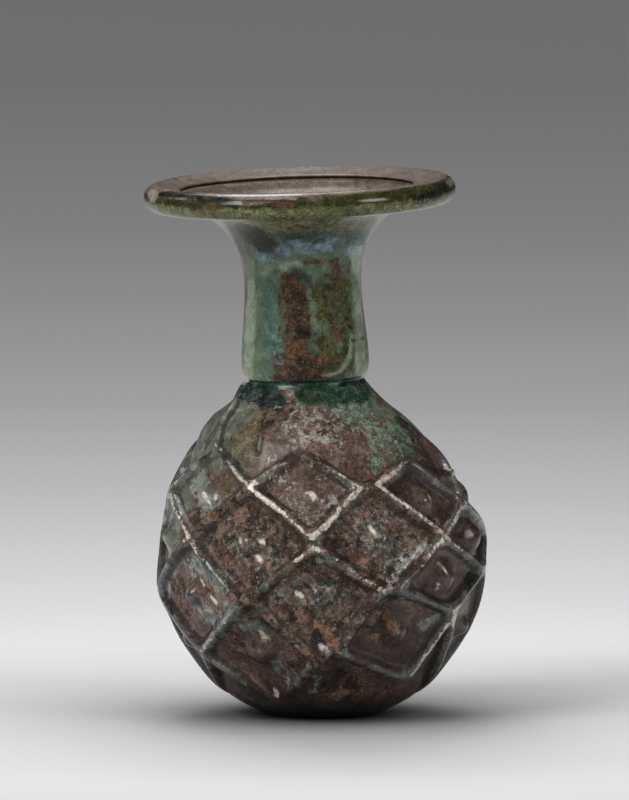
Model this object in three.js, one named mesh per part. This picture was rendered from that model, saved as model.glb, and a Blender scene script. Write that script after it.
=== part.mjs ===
// A small sprinkler flask of mould-blown glass: a globe with a lattice of lozenges and a boss in
// each, a pierced washer of glass where the neck begins, and a wide mouth whose edge is folded in.
// Millimetres, +Z up, the origin at the centre of the foot, the front towards -Y.
import * as THREE from 'three';
import { mergeVertices } from 'three/addons/utils/BufferGeometryUtils.js';

const { degToRad, radToDeg, lerp, smoothstep } = THREE.MathUtils;

// Bulb
const bulbRadius = 30.5; // from the bulb's centre to the lattice nodes
const footRadius = 9.6; // the flat that the flask stands on
const bulbWall = 1.5; // glass at its thinnest, in the middle of a panel
const baseThickness = 2.6; // glass in the middle of the base
const floorBend = { radius: 0.65, rise: 0.3 }; // where the floor inside turns up, as shares of its size

// Lattice
const columns = 7; // lozenges round the bulb
const ribHeight = 1.5; // nodes above the foot of a rib
const ribWidth = 3.4; // across a rib, panel to panel
const ribSag = 0.5; // how far a rib runs under its nodes, halfway
const ribCrown = { width: 0.33, drop: 0.3 }; // the round top of a rib, as shares of its half width and height
const panelDish = 0.6; // how much deeper a panel is in its middle
const bossRadius = 3.6;
const bossHeight = 1.7;
const bossCrown = { radius: 0.62, rise: 0.66 }; // where a boss rounds over, as shares of its size
const bossMargin = 0.5; // flat glass left between a boss and the foot of a rib
const seamDepth = 0.5; // plain glass above and below the lattice, under the nodes
const lowerSeam = -64; // latitude where the base begins
const upperSeam = 57; // latitude where the shoulder begins

// Node rows from the shoulder down: latitude on the bulb, and the turn of the whole row, in degrees.
const rows = [
  { latitude: 44, turn: -3 },
  { latitude: 28, turn: -4 },
  { latitude: 11, turn: -3 },
  { latitude: -8, turn: -1 },
  { latitude: -30, turn: 0 },
  { latitude: -52, turn: 0 },
];

// Nodes that lie off the even lattice, as blown: row, column, degrees round, degrees up.
const strays = [
  { row: 0, column: 6, round: 2.5, up: 1 },
  { row: 0, column: 0, round: -2, up: 1.5 },
  { row: 0, column: 1, round: 0, up: -3.5 },
  { row: 1, column: 5, round: -1, up: -3.5 },
  { row: 1, column: 6, round: 1, up: 2 },
  { row: 1, column: 0, round: -1, up: 2.5 },
  { row: 1, column: 1, round: -6, up: -6 },
  { row: 2, column: 2, round: 0, up: -4 },
  { row: 3, column: 5, round: -9, up: -3 },
  { row: 3, column: 6, round: -2, up: -2.5 },
  { row: 3, column: 0, round: 0, up: 2 },
  { row: 3, column: 1, round: 0, up: 5.5 },
  { row: 4, column: 6, round: -6, up: -1 },
  { row: 4, column: 0, round: 2, up: -0.5 },
  { row: 4, column: 1, round: 4, up: 14.5 },
  { row: 5, column: 6, round: 0, up: -4.5 },
  { row: 5, column: 0, round: 18, up: 9.5 },
];

// Shoulder
const shoulderHeight = 5.6; // from the lattice's upper seam to the neck's seat
const shoulderBelly = 0.3; // how far the shoulder swells past a straight cone
const shoulderSpread = 4.6; // how far the glass would run outside the globe at its pole
const neckOffset = -2.9; // the neck stands to one side of the bulb
const neckLean = 1.9; // degrees, towards -X
const driftStart = 35; // height where the bulb's axis begins to drift to the neck

// Washer of glass across the foot of the neck
const waistRadius = 11; // the crease outside
const creaseHeight = 0.9;
const foldDepth = 2.4; // how far the fold of glass hangs inside the shoulder
const foldWidth = 1.7;
const foldRound = 0.25; // how far up the fold its lower outer edge is rounded, as a share of its depth
const dripHoleRadius = 3;
const dripHoleEdge = 0.8; // how far the hole's rounded edge reaches into the web
const webThickness = 1.1;
const webSlope = 0.5; // how much the web sinks from the fold to the hole

// Neck
const neckRadius = 10.65; // outside, at its narrowest
const neckSwell = 0.95; // how much wider the neck is near its foot
const neckWall = 1.7;
const neckLength = 16.9;

// Mouth
const flareReach = 10.5; // how far the trumpet turns outwards
const flareRise = 13.5;
const flareEnd = 70; // degrees along the trumpet's quarter turn where the disc begins
const mouthRadius = 28.4;
const mouthWall = 1.6;
const discRise = 1; // the disc climbs this much on its way out
const rollHeight = 4.9; // the folded edge, top to bottom
const lipWidth = 4.6; // of the strip that lies folded in on the disc
const lipGap = 0.4; // air between the strip and the disc
const lipThickness = 0.9; // of the strip at its edge
const lipCurl = 0.55; // how high the strip's middle stands between its edge and the rim's top

// Steps and the hairline that parts neighbouring pieces
const stepsPerColumn = 6;
const pieceGap = 0.3;

// What follows from the sizes
const steps = columns * stepsPerColumn; // round every turned piece
const columnAngle = 360 / columns;
const stepAngle = 360 / steps;
const gapAngle = radToDeg(pieceGap / bulbRadius);
const plainRadius = bulbRadius - seamDepth;
const bulbCentre = Math.sqrt(plainRadius ** 2 - footRadius ** 2); // height above the foot
const cavityDepth = ribHeight + panelDish + bulbWall; // from the nodes in to the cavity
const lastRow = rows.length - 1;
const neckSeat = shellHeight(upperSeam, seamDepth) + shoulderHeight;

const glass = (name, color, roughness) =>
  new THREE.MeshStandardMaterial({ name, color, roughness, metalness: 0, transparent: true, opacity: 0.8 });
const bulbGlass = glass('bulb_glass', 0x5b4a40, 0.2);
const baseGlass = glass('base_glass', 0x3f3a33, 0.3);
const neckGlass = glass('neck_glass', 0x4f8270, 0.12);
const washerGlass = glass('washer_glass', 0x1d5a40, 0.1);
const mouthGlass = glass('mouth_glass', 0x66683a, 0.18);

// Distance from the bulb's centre to the nodes. Over the shoulder the glass leaves the globe.
function nodeReach(latitude) {
  const share = Math.max(0, (latitude - rows[0].latitude) / (90 - rows[0].latitude));
  return bulbRadius + shoulderSpread * share;
}

function shellHeight(latitude, depth) {
  return bulbCentre + (nodeReach(latitude) - depth) * Math.sin(degToRad(latitude));
}

// A point in the glass at a longitude from the front, a latitude, and a depth under the nodes.
function shell(longitude, latitude, depth) {
  const height = shellHeight(latitude, depth);
  const radius = (nodeReach(latitude) - depth) * Math.cos(degToRad(latitude));
  const drift = neckOffset * smoothstep(height, driftStart, neckSeat);
  const turn = degToRad(longitude);
  return new THREE.Vector3(drift + radius * Math.sin(turn), -radius * Math.cos(turn), height);
}

// The lattice's depth fades to the plain glass between its outer rows and the seams.
function faded(latitude, depth) {
  const above = smoothstep(latitude, rows[0].latitude, upperSeam);
  const below = smoothstep(-latitude, -rows[lastRow].latitude, -lowerSeam);
  return lerp(depth, seamDepth, Math.max(above, below));
}

// A lattice node. Odd rows stand half a column on.
function node(row, column) {
  const wrapped = ((column % columns) + columns) % columns;
  const stray = strays.find((s) => s.row === row && s.column === wrapped) ?? { round: 0, up: 0 };
  const place = column + (row % 2) / 2;
  return {
    longitude: place * columnAngle + rows[row].turn + stray.round,
    latitude: rows[row].latitude + stray.up,
    depth: 0,
  };
}

const between = (a, b, share, depth = 0) => ({
  longitude: lerp(a.longitude, b.longitude, share),
  latitude: lerp(a.latitude, b.latitude, share),
  depth,
});

// Corners in order round a panel, with two points of each sagging rib between them.
function ribbed(corners) {
  const sag = ribSag * Math.sin(Math.PI / 3);
  return corners.flatMap((corner, i) => {
    const next = corners[i + 1];
    return next ? [corner, between(corner, next, 1 / 3, sag), between(corner, next, 2 / 3, sag)] : [corner];
  });
}

// Points of a seam, which every piece that meets there shares.
function seamPoints(first, count, latitude) {
  return Array.from({ length: count }, (_, i) => ({
    longitude: (first + i) * stepAngle,
    latitude,
    depth: seamDepth,
  }));
}

// A closed skin of triangles. Strips join rings of equal length, walked the same way round.
class Skin {
  constructor() {
    this.corners = [];
  }
  triangle(a, b, c) {
    this.corners.push(a, b, c);
  }
  strip(outer, inner) {
    outer.forEach((corner, i) => {
      const next = (i + 1) % outer.length;
      this.triangle(corner, outer[next], inner[next]);
      this.triangle(corner, inner[next], inner[i]);
    });
  }
  fan(ring, tip) {
    ring.forEach((corner, i) => this.triangle(corner, ring[(i + 1) % ring.length], tip));
  }
  geometry() {
    const made = new THREE.BufferGeometry().setFromPoints(this.corners);
    return mergeVertices(made, 1e-4);
  }
}

// One panel of the lattice, from the ribs round it in to its middle, where a boss may stand.
function addPanel(skin, outline, hasBoss) {
  const middle = outline.reduce(
    (sum, p) => ({
      longitude: sum.longitude + p.longitude / outline.length,
      latitude: sum.latitude + p.latitude / outline.length,
    }),
    { longitude: 0, latitude: 0 },
  );
  const panelDepth = (share) => ribHeight + panelDish * share;
  const at = (p, share, depth) => {
    const place = between(p, middle, share);
    return shell(place.longitude, place.latitude, faded(place.latitude, depth));
  };
  const crest = outline.map((p) => at(p, 0, p.depth));
  const heart = at(middle, 1, ribHeight);
  const room = Math.min(...crest.map((point) => point.distanceTo(heart)));
  const ribShare = ribWidth / 2 / room;
  const rings = [
    crest,
    outline.map((p) => at(p, ribShare * ribCrown.width, lerp(p.depth, ribHeight, ribCrown.drop))),
    outline.map((p) => at(p, ribShare, panelDepth(ribShare))),
  ];
  if (hasBoss) {
    // The boss is round, so its rings stand at one distance from the middle. A cramped lozenge has
    // a smaller one.
    const radius = Math.min(bossRadius, room - ribWidth / 2 - bossMargin);
    const bossRing = (spread, raised) =>
      outline.map((p, i) => {
        const share = 1 - (radius * spread) / crest[i].distanceTo(heart);
        return at(p, share, panelDepth(share) - raised);
      });
    rings.push(bossRing(1, 0), bossRing(bossCrown.radius, bossHeight * bossCrown.rise));
  }
  rings.slice(1).forEach((inner, i) => skin.strip(rings[i], inner));
  skin.fan(rings.at(-1), at(middle, 1, panelDepth(1) - (hasBoss ? bossHeight : 0)));
}

function ringAt(latitude, depth) {
  return Array.from({ length: steps }, (_, i) => shell(i * stepAngle, latitude, depth));
}

function lozengeBody() {
  const skin = new Skin();
  for (let column = 0; column < columns; column++) {
    // Whole lozenges, from their left corner on, counter-clockwise from outside.
    for (let row = 1; row < lastRow; row++) {
      const odd = row % 2;
      const left = node(row, column);
      const bottom = node(row + 1, column + odd);
      const right = node(row, column + 1);
      const top = node(row - 1, column + odd);
      addPanel(skin, ribbed([left, bottom, right, top, left]).slice(0, -1), true);
    }

    // Plain panels above and below, with a stretch of the seam as their far side.
    const upperFirst = Math.round((column * columnAngle + rows[0].turn) / stepAngle);
    const upper = seamPoints(upperFirst, stepsPerColumn + 1, upperSeam).reverse();
    const shoulderPanel = ribbed([node(0, column), node(1, column), node(0, column + 1)]);
    shoulderPanel.push(between(node(0, column + 1), upper[0], 0.5), ...upper);
    shoulderPanel.push(between(upper.at(-1), node(0, column), 0.5));
    addPanel(skin, shoulderPanel, false);

    const odd = lastRow % 2;
    const footPlace = (column + odd / 2) * columnAngle + rows[lastRow].turn;
    const lower = seamPoints(Math.round(footPlace / stepAngle), stepsPerColumn + 1, lowerSeam);
    const footRibs = [node(lastRow, column + 1), node(lastRow - 1, column + odd), node(lastRow, column)];
    const footPanel = ribbed(footRibs);
    footPanel.push(between(node(lastRow, column), lower[0], 0.5), ...lower);
    footPanel.push(between(lower.at(-1), node(lastRow, column + 1), 0.5));
    addPanel(skin, footPanel, false);
  }
  const cavityBands = 9;
  const cavity = Array.from({ length: cavityBands + 1 }, (_, i) =>
    ringAt(lerp(lowerSeam, upperSeam, i / cavityBands), cavityDepth),
  );
  cavity.slice(1).forEach((upperRing, i) => skin.strip(upperRing, cavity[i]));
  skin.strip(ringAt(upperSeam, seamDepth), cavity.at(-1));
  skin.strip(cavity[0], ringAt(lowerSeam, seamDepth));
  return skin.geometry();
}

// The shoulder runs from the bulb's upper seam to the leaning seat of the neck.
function shoulder(seatPoint) {
  const skin = new Skin();
  const wallRings = (depth, seatRadius) => {
    const below = ringAt(upperSeam + gapAngle, depth);
    const above = Array.from({ length: steps }, (_, i) => seatPoint(i * stepAngle, seatRadius));
    const swollen = (share) =>
      below.map((point, i) => {
        const outwards = new THREE.Vector3(point.x - neckOffset, point.y, 0).normalize();
        const swell = shoulderBelly * Math.sin(Math.PI * share);
        const at = point.clone().lerp(above[i], share);
        return at.addScaledVector(outwards, swell).add(new THREE.Vector3(0, 0, swell));
      });
    return [below, swollen(1 / 3), swollen(2 / 3), above];
  };
  const outside = wallRings(seamDepth, waistRadius);
  const inside = wallRings(cavityDepth, waistRadius - bulbWall).reverse();
  const loop = [...outside, ...inside, outside[0]];
  loop.slice(1).forEach((ring, i) => skin.strip(loop[i], ring));
  return skin.geometry();
}

// A piece turned about +Z from a profile of radius and height.
function turned(profile) {
  const points = profile.map(([radius, height]) => new THREE.Vector2(radius, height));
  return new THREE.LatheGeometry(points, steps).rotateX(Math.PI / 2);
}

function basePad() {
  const arcSteps = 3;
  const footLatitude = -radToDeg(Math.acos(footRadius / plainRadius));
  const outside = Array.from({ length: arcSteps + 1 }, (_, i) => {
    const latitude = degToRad(lerp(footLatitude, lowerSeam - gapAngle, i / arcSteps));
    return [plainRadius * Math.cos(latitude), bulbCentre + plainRadius * Math.sin(latitude)];
  });
  outside[0] = [footRadius, 0];
  const cavityRadius = bulbRadius - cavityDepth;
  const seam = degToRad(lowerSeam - gapAngle);
  const insideRadius = cavityRadius * Math.cos(seam);
  const insideHeight = bulbCentre + cavityRadius * Math.sin(seam);
  const floor = [
    [insideRadius, insideHeight],
    [insideRadius * floorBend.radius, lerp(baseThickness, insideHeight, floorBend.rise)],
    [0, baseThickness],
  ];
  return turned([[0, 0], ...outside, ...floor]);
}

// The crease outside, the fold of glass that hangs from it inside, and the pierced web.
function sprinklerWasher() {
  const foldOutside = waistRadius - bulbWall - pieceGap;
  const foldInside = foldOutside - foldWidth;
  const innerEdge = neckRadius - neckWall;
  return turned([
    [waistRadius, 0],
    [waistRadius, creaseHeight],
    [innerEdge, creaseHeight],
    [foldInside, webThickness - foldDepth + webSlope],
    [dripHoleRadius + dripHoleEdge, webThickness - foldDepth],
    [dripHoleRadius, webThickness / 2 - foldDepth],
    [dripHoleRadius + dripHoleEdge, -foldDepth],
    [foldInside + foldWidth / 2, -foldDepth],
    [foldOutside, foldDepth * (foldRound - 1)],
    [foldOutside, 0],
    [waistRadius, 0],
  ]);
}

// Outside of the neck: narrow at its foot, a swell just above, then a slow taper upwards.
const neckOutline = [
  [0, 0.45],
  [0.06, 0.85],
  [0.16, 1],
  [0.35, 0.84],
  [0.62, 0.36],
  [0.85, 0.06],
  [1, 0],
].map(([share, swell]) => [neckRadius + neckSwell * swell, neckLength * share]);

function neckTube() {
  const inside = neckOutline.map(([radius, height]) => [radius - neckWall, height]).reverse();
  return turned([...neckOutline, ...inside, neckOutline[0]]);
}

// The trumpet's quarter turn, outside when the wall is 0 and inside when it is the neck's.
function flareCurve(wall) {
  const bends = 7;
  return Array.from({ length: bends + 1 }, (_, i) => {
    const turn = degToRad((flareEnd * i) / bends);
    const radius = neckRadius - wall + (flareReach + wall) * (1 - Math.cos(turn));
    return [radius, (flareRise + wall) * Math.sin(turn)];
  });
}

function mouthFlare() {
  const outside = flareCurve(0);
  const inside = flareCurve(neckWall).reverse();
  return turned([...outside, ...inside, outside[0]]);
}

// Heights in the mouth count from the foot of the trumpet.
const rollRadius = rollHeight / 2;
const rollCentre = mouthRadius - rollRadius;
const discInner = flareCurve(0).at(-1);
const discInnerTop = flareCurve(neckWall).at(-1);
const discEdge = rollCentre - pieceGap;
const rollFoot = discInner[1] + discRise;
const rimTop = rollFoot + rollHeight;
const lipEdge = discEdge - lipWidth;
const lipFoot = rimTop - mouthWall;

// As thin as the trumpet where it leaves it, and thick under the strip, where the fold is fused to it.
function mouthDisc() {
  const underInner = [discInner[0] + pieceGap, discInner[1]];
  const fusedTop = lipFoot - lipGap;
  return turned([
    underInner,
    [discEdge, rollFoot],
    [discEdge, fusedTop],
    [lipEdge, fusedTop],
    [discInnerTop[0] + pieceGap, discInnerTop[1]],
    underInner,
  ]);
}

// The edge of the disc turned up and over, open on its inner side.
function rolledRim() {
  const bends = 8;
  const arc = (radius) =>
    Array.from({ length: bends + 1 }, (_, i) => {
      const turn = lerp(-Math.PI / 2, Math.PI / 2, i / bends);
      return [rollCentre + radius * Math.cos(turn), rollFoot + rollRadius + radius * Math.sin(turn)];
    });
  const outside = arc(rollRadius);
  const inside = arc(rollRadius - mouthWall).reverse();
  return turned([...outside, ...inside, outside[0]]);
}

// The strip that the fold leaves lying on the disc, down to a rounded edge.
function foldedLip() {
  const middle = (lipEdge + discEdge) / 2;
  const edgeTop = lipFoot + lipThickness;
  const round = lipThickness / 2;
  return turned([
    [discEdge, lipFoot],
    [discEdge, rimTop],
    [middle, lerp(edgeTop, rimTop, lipCurl)],
    [lipEdge + round, edgeTop],
    [lipEdge, lipFoot + round],
    [lipEdge + round, lipFoot],
    [discEdge, lipFoot],
  ]);
}

function piece(name, geometry, material, height = 0) {
  const mesh = new THREE.Mesh(geometry, material);
  mesh.name = name;
  mesh.position.z = height;
  return mesh;
}

// The neck, with all that it carries, leans as one from its seat on the shoulder.
const neck = new THREE.Group();
neck.position.set(neckOffset, 0, neckSeat);
neck.rotation.y = -degToRad(neckLean);
neck.updateMatrixWorld(true);

const seatPoint = (longitude, radius) => {
  const turn = degToRad(longitude);
  return neck.localToWorld(new THREE.Vector3(radius * Math.sin(turn), -radius * Math.cos(turn), 0));
};

const neckFoot = creaseHeight + 2 * pieceGap;
const mouth = new THREE.Group();
mouth.position.z = neckFoot + neckLength + pieceGap;
mouth.add(
  piece('mouth_flare', mouthFlare(), mouthGlass),
  piece('mouth_disc', mouthDisc(), mouthGlass),
  piece('rolled_rim', rolledRim(), mouthGlass),
  piece('folded_lip', foldedLip(), mouthGlass),
);
neck.add(
  piece('sprinkler_diaphragm', sprinklerWasher(), washerGlass, pieceGap),
  piece('neck_tube', neckTube(), neckGlass, neckFoot),
  mouth,
);

const flask = new THREE.Group();
flask.add(
  piece('base_pad', basePad(), baseGlass),
  piece('lozenge_body', lozengeBody(), bulbGlass),
  piece('shoulder', shoulder(seatPoint), bulbGlass),
  neck,
);

export default flask;
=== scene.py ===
# A small sprinkler flask of mould-blown glass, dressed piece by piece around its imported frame.
import math
import bpy
import numpy as np
from mathutils import Matrix, Vector


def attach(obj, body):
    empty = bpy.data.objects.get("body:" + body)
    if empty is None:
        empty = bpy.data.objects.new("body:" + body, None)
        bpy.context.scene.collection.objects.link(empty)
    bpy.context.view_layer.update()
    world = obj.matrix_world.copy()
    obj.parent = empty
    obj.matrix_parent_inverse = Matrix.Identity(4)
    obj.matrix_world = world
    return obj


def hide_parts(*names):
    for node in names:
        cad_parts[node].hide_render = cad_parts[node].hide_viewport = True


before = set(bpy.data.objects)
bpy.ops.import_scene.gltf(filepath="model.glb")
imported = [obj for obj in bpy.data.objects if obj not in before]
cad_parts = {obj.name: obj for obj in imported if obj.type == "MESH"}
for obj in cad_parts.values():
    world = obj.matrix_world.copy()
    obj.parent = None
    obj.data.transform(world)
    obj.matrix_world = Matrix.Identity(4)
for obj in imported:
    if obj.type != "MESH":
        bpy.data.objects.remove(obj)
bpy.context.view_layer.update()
mm = 0.001
bpy.context.scene.view_settings.view_transform = "Standard"

# The view: a long lens, so that a millimetre covers the same pixels all over the flask.
photo = {
    "width": 629,
    "height": 800,
    "mmPerPixel": 0.182,
    "foot": (322, 713),  # pixel where the centre of the foot stands
    "elevation": 5.6,  # degrees
    "distance": 6.0,  # metres
    "sensor": 24,
}


def addCamera():
    tilt = math.radians(photo["elevation"])
    pixel = photo["mmPerPixel"] * mm
    right = (photo["width"] / 2 - photo["foot"][0]) * pixel
    up = (photo["foot"][1] - photo["height"] / 2) * pixel
    aim = Vector((right, up * math.sin(tilt), up * math.cos(tilt)))
    back = Vector((0, -math.cos(tilt), math.sin(tilt)))
    bpy.ops.object.camera_add(
        location=aim + back * photo["distance"], rotation=(math.pi / 2 - tilt, 0, 0)
    )
    camera = bpy.context.object
    camera.data.sensor_fit = "VERTICAL"
    camera.data.sensor_height = photo["sensor"]
    camera.data.lens = photo["sensor"] * photo["distance"] / (photo["height"] * pixel)
    bpy.context.scene.camera = camera


# Small helpers for the operators
def onlySelect(*pieces):
    bpy.ops.object.select_all(action="DESELECT")
    for piece in pieces:
        piece.select_set(True)
    bpy.context.view_layer.objects.active = pieces[0]


def editAll(piece):
    onlySelect(piece)
    bpy.ops.object.mode_set(mode="EDIT")
    bpy.ops.mesh.select_mode(type="VERT")
    bpy.ops.mesh.select_all(action="SELECT")


def doneEditing():
    bpy.ops.object.mode_set(mode="OBJECT")


def vectorsOf(piece, kind):
    flat = np.empty(len(piece.data.vertices) * 3, np.float32)
    piece.data.vertices.foreach_get(kind, flat)
    return flat.reshape(-1, 3).astype(float)


def pointsOf(piece):
    return vectorsOf(piece, "co")


def smoothStep(value, low, high):
    share = np.clip((value - low) / (high - low), 0, 1)
    return share * share * (3 - 2 * share)


def weigh(piece, groupName, weights):
    group = piece.vertex_groups.new(name=groupName)
    for i, weight in enumerate(weights):
        group.add([i], float(weight), "REPLACE")


def displace(piece, groupName, strength, direction="NORMAL"):
    push = piece.modifiers.new(groupName, "DISPLACE")
    push.vertex_group = groupName
    push.strength = strength * mm
    push.mid_level = 0
    push.direction = direction
    onlySelect(piece)
    bpy.ops.object.modifier_apply(modifier=push.name)


# The globe. Lengths in millimetres, angles in degrees, longitude 0 at the front.
globe = {
    "radius": 30.5,  # from its centre to the lattice nodes
    "footRadius": 9.6,
    "seamDepth": 0.5,  # plain glass above and below the lattice
    "cavityDepth": 3.6,  # from the nodes in to the cavity
    "bandDepth": 3.2,  # how far under the nodes the band lies before it is pushed out
    "skinDepth": 3.3,  # points deeper than this lie on the cavity
    "push": 7,  # millimetres that a weight of 1 pushes
    "baseThickness": 2.6,
    "lowerSeam": -63.75,
    "upperSeam": 57,
    "segments": 400,
    "ringStep": 0.75,
    "innerRingStep": 3.75,
    "spread": 4.6,  # how far the glass would run outside the globe at its pole
    "drift": (35, 60.3),  # heights between which its axis drifts to the neck
}
globe["plainRadius"] = globe["radius"] - globe["seamDepth"]
globe["centre"] = math.sqrt(globe["plainRadius"] ** 2 - globe["footRadius"] ** 2)

lattice = {
    "columns": 7,
    "rows": ((44, -3), (28, -4), (11, -3), (-8, -1), (-30, 0), (-52, 0)),  # latitude, turn
    # Nodes off the even lattice, by row and column: degrees round, degrees up
    "strays": {
        (0, 6): (2.5, 1), (0, 0): (-2, 1.5), (0, 1): (0, -3.5),
        (1, 5): (-1, -3.5), (1, 6): (1, 2), (1, 0): (-1, 2.5), (1, 1): (-6, -6),
        (2, 2): (0, -4),
        (3, 5): (-9, -3), (3, 6): (-2, -2.5), (3, 0): (0, 2), (3, 1): (0, 5.5),
        (4, 6): (-6, -1), (4, 0): (2, -0.5), (4, 1): (4, 14.5),
        (5, 6): (0, -4.5), (5, 0): (18, 9.5),
    },
    # Nodes that came out double: how far their two halves stand apart, round and up
    "doubles": {
        (1, 0): (8, 0), (2, 0): (0, 3.5), (3, 6): (5, 2), (3, 0): (7, 0), (4, 0): (9, 4),
        (1, 3): (6, 0), (2, 3): (0, 3), (3, 3): (7, 0), (4, 4): (7, 2),
    },
    "ribHeight": 1.5,
    "ribHalf": 2,  # half a rib's width at its foot
    "ribCrown": 0.2,
    "ribEdge": 1.5,  # how sharp a rib's top is
    # The bright line along each rib's top is a pale film drawn with a painted highlight.
    "ribLine": (0.1, 1.1),  # how far from a rib's middle its bright line fades
    "ribJoin": 0.4,  # over how far ribs melt into each other
    "ribSag": 0.55,
    "sagReach": 1.3,  # how far beside a rib its sag is felt
    "panelDish": 0.75,
    "dishPower": 1.5,
    "panelReach": 6.5,  # from a rib to the middle of a panel
    "bossRadius": 3.7,
    "bossHeight": 1.75,
    "waver": 0.35,  # how far ribs stray from straight lines
    "waverLength": 9,
    "heightLength": 14,  # length of the waves in the ribs' height
    # How much ribs and bosses differ from each other
    "uneven": {"ribWidth": 0.16, "ribHeight": 0.12, "bossWidth": 0.14, "bossHeight": 0.15},
    "fade": (33, 51),  # latitudes between which the panels rise to the plain shoulder
    "footFade": (40, 58),  # degrees down, between which they fade towards the foot
}

# Loose folds of glass above the lattice: places on the globe, half width and height
folds = (
    (((-53, 45), (-57, 52), (-62, 60), (-80, 70)), 1.6, 1.0),
    (((-28, 46), (-26, 56)), 1.4, 0.3),
    (((51, 48.8), (60, 46), (71, 41.8)), 1.1, 0.8),
    (((60, 41), (70, 38), (78, 33.5)), 1.0, 0.7),
    (((68, 57), (75, 51)), 1.0, 0.6),
    (((130, 46), (136, 56), (142, 66)), 1.6, 0.8),
    (((-130, 50), (-118, 46)), 1.2, 0.6),
)

neck = {
    "offset": -2.9,  # the neck stands to one side of the globe
    "lean": 1.9,
    "waistRadius": 11,
    "seatRise": 5.6,  # from the lattice's upper seam to the neck's seat
}
latitudeStart = lattice["rows"][0][0]


def bearing(longitude, latitude):
    turn, up = np.radians(longitude), np.radians(latitude)
    return np.array([np.sin(turn) * np.cos(up), -np.cos(turn) * np.cos(up), np.sin(up)])


def latticeNode(row, column):
    wrapped = column % lattice["columns"]
    latitude, turn = lattice["rows"][row]
    straysRound, straysUp = lattice["strays"].get((row, wrapped), (0, 0))
    place = column + (row % 2) / 2
    return place * 360 / lattice["columns"] + turn + straysRound, latitude + straysUp


# Half of a double node, on the side of the rib's other end
def nodeHalf(row, column, other):
    longitude, latitude = latticeNode(row, column)
    apart, upright = lattice["doubles"].get((row, column % lattice["columns"]), (0, 0))
    side = math.copysign(0.5, other[0] - longitude)
    above = math.copysign(0.5, other[1] - latitude)
    if apart:
        return longitude + side * apart, latitude + side * upright
    return longitude, latitude + above * upright


def latticeRibs():
    ribs = []
    for row in range(len(lattice["rows"]) - 1):
        for column in range(lattice["columns"]):
            for lowerColumn in (column - 1 + row % 2, column + row % 2):
                upper, lower = latticeNode(row, column), latticeNode(row + 1, lowerColumn)
                ribs.append((nodeHalf(row, column, lower), nodeHalf(row + 1, lowerColumn, upper)))
    for (row, column), (apart, upright) in lattice["doubles"].items():
        longitude, latitude = latticeNode(row, column)
        ribs.append(
            ((longitude - apart / 2, latitude - upright / 2), (longitude + apart / 2, latitude + upright / 2))
        )
    return ribs


def latticePanels():
    panels = []
    for row in range(1, len(lattice["rows"]) - 1):
        for column in range(lattice["columns"]):
            beside = column + row % 2
            corners = [latticeNode(row, column), latticeNode(row + 1, beside)]
            corners += [latticeNode(row, column + 1), latticeNode(row - 1, beside)]
            panels.append(np.mean(corners, 0))
    return panels


# Slow waves over the glass, the same at every place each time
def waves(points, length, seed):
    total = np.zeros(len(points))
    for i in range(5):
        angle = seed * 1.7 + i * 2.4
        tilt = seed * 0.9 + i * 1.3
        way = np.array([math.cos(angle) * math.cos(tilt), math.sin(angle) * math.cos(tilt), math.sin(tilt)])
        total += np.sin(points @ way * 2 * math.pi / length * (1 + 0.23 * i) + seed + i)
    return total / 5


def nearestOnArc(bearings, start, end):
    angle = math.acos(float(np.clip(start @ end, -1, 1)))
    if angle < 1e-4:
        return np.broadcast_to(start, bearings.shape), np.zeros(len(bearings))
    side = np.cross(start, end)
    ahead = np.cross(side / np.linalg.norm(side), start)
    share = np.clip(np.arctan2(bearings @ ahead, bearings @ start) / angle, 0, 1)
    return np.outer(np.cos(share * angle), start) + np.outer(np.sin(share * angle), ahead), share


def nodeReach(latitude):
    share = np.maximum(0, (latitude - latitudeStart) / (90 - latitudeStart))
    return globe["radius"] + globe["spread"] * share
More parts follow.
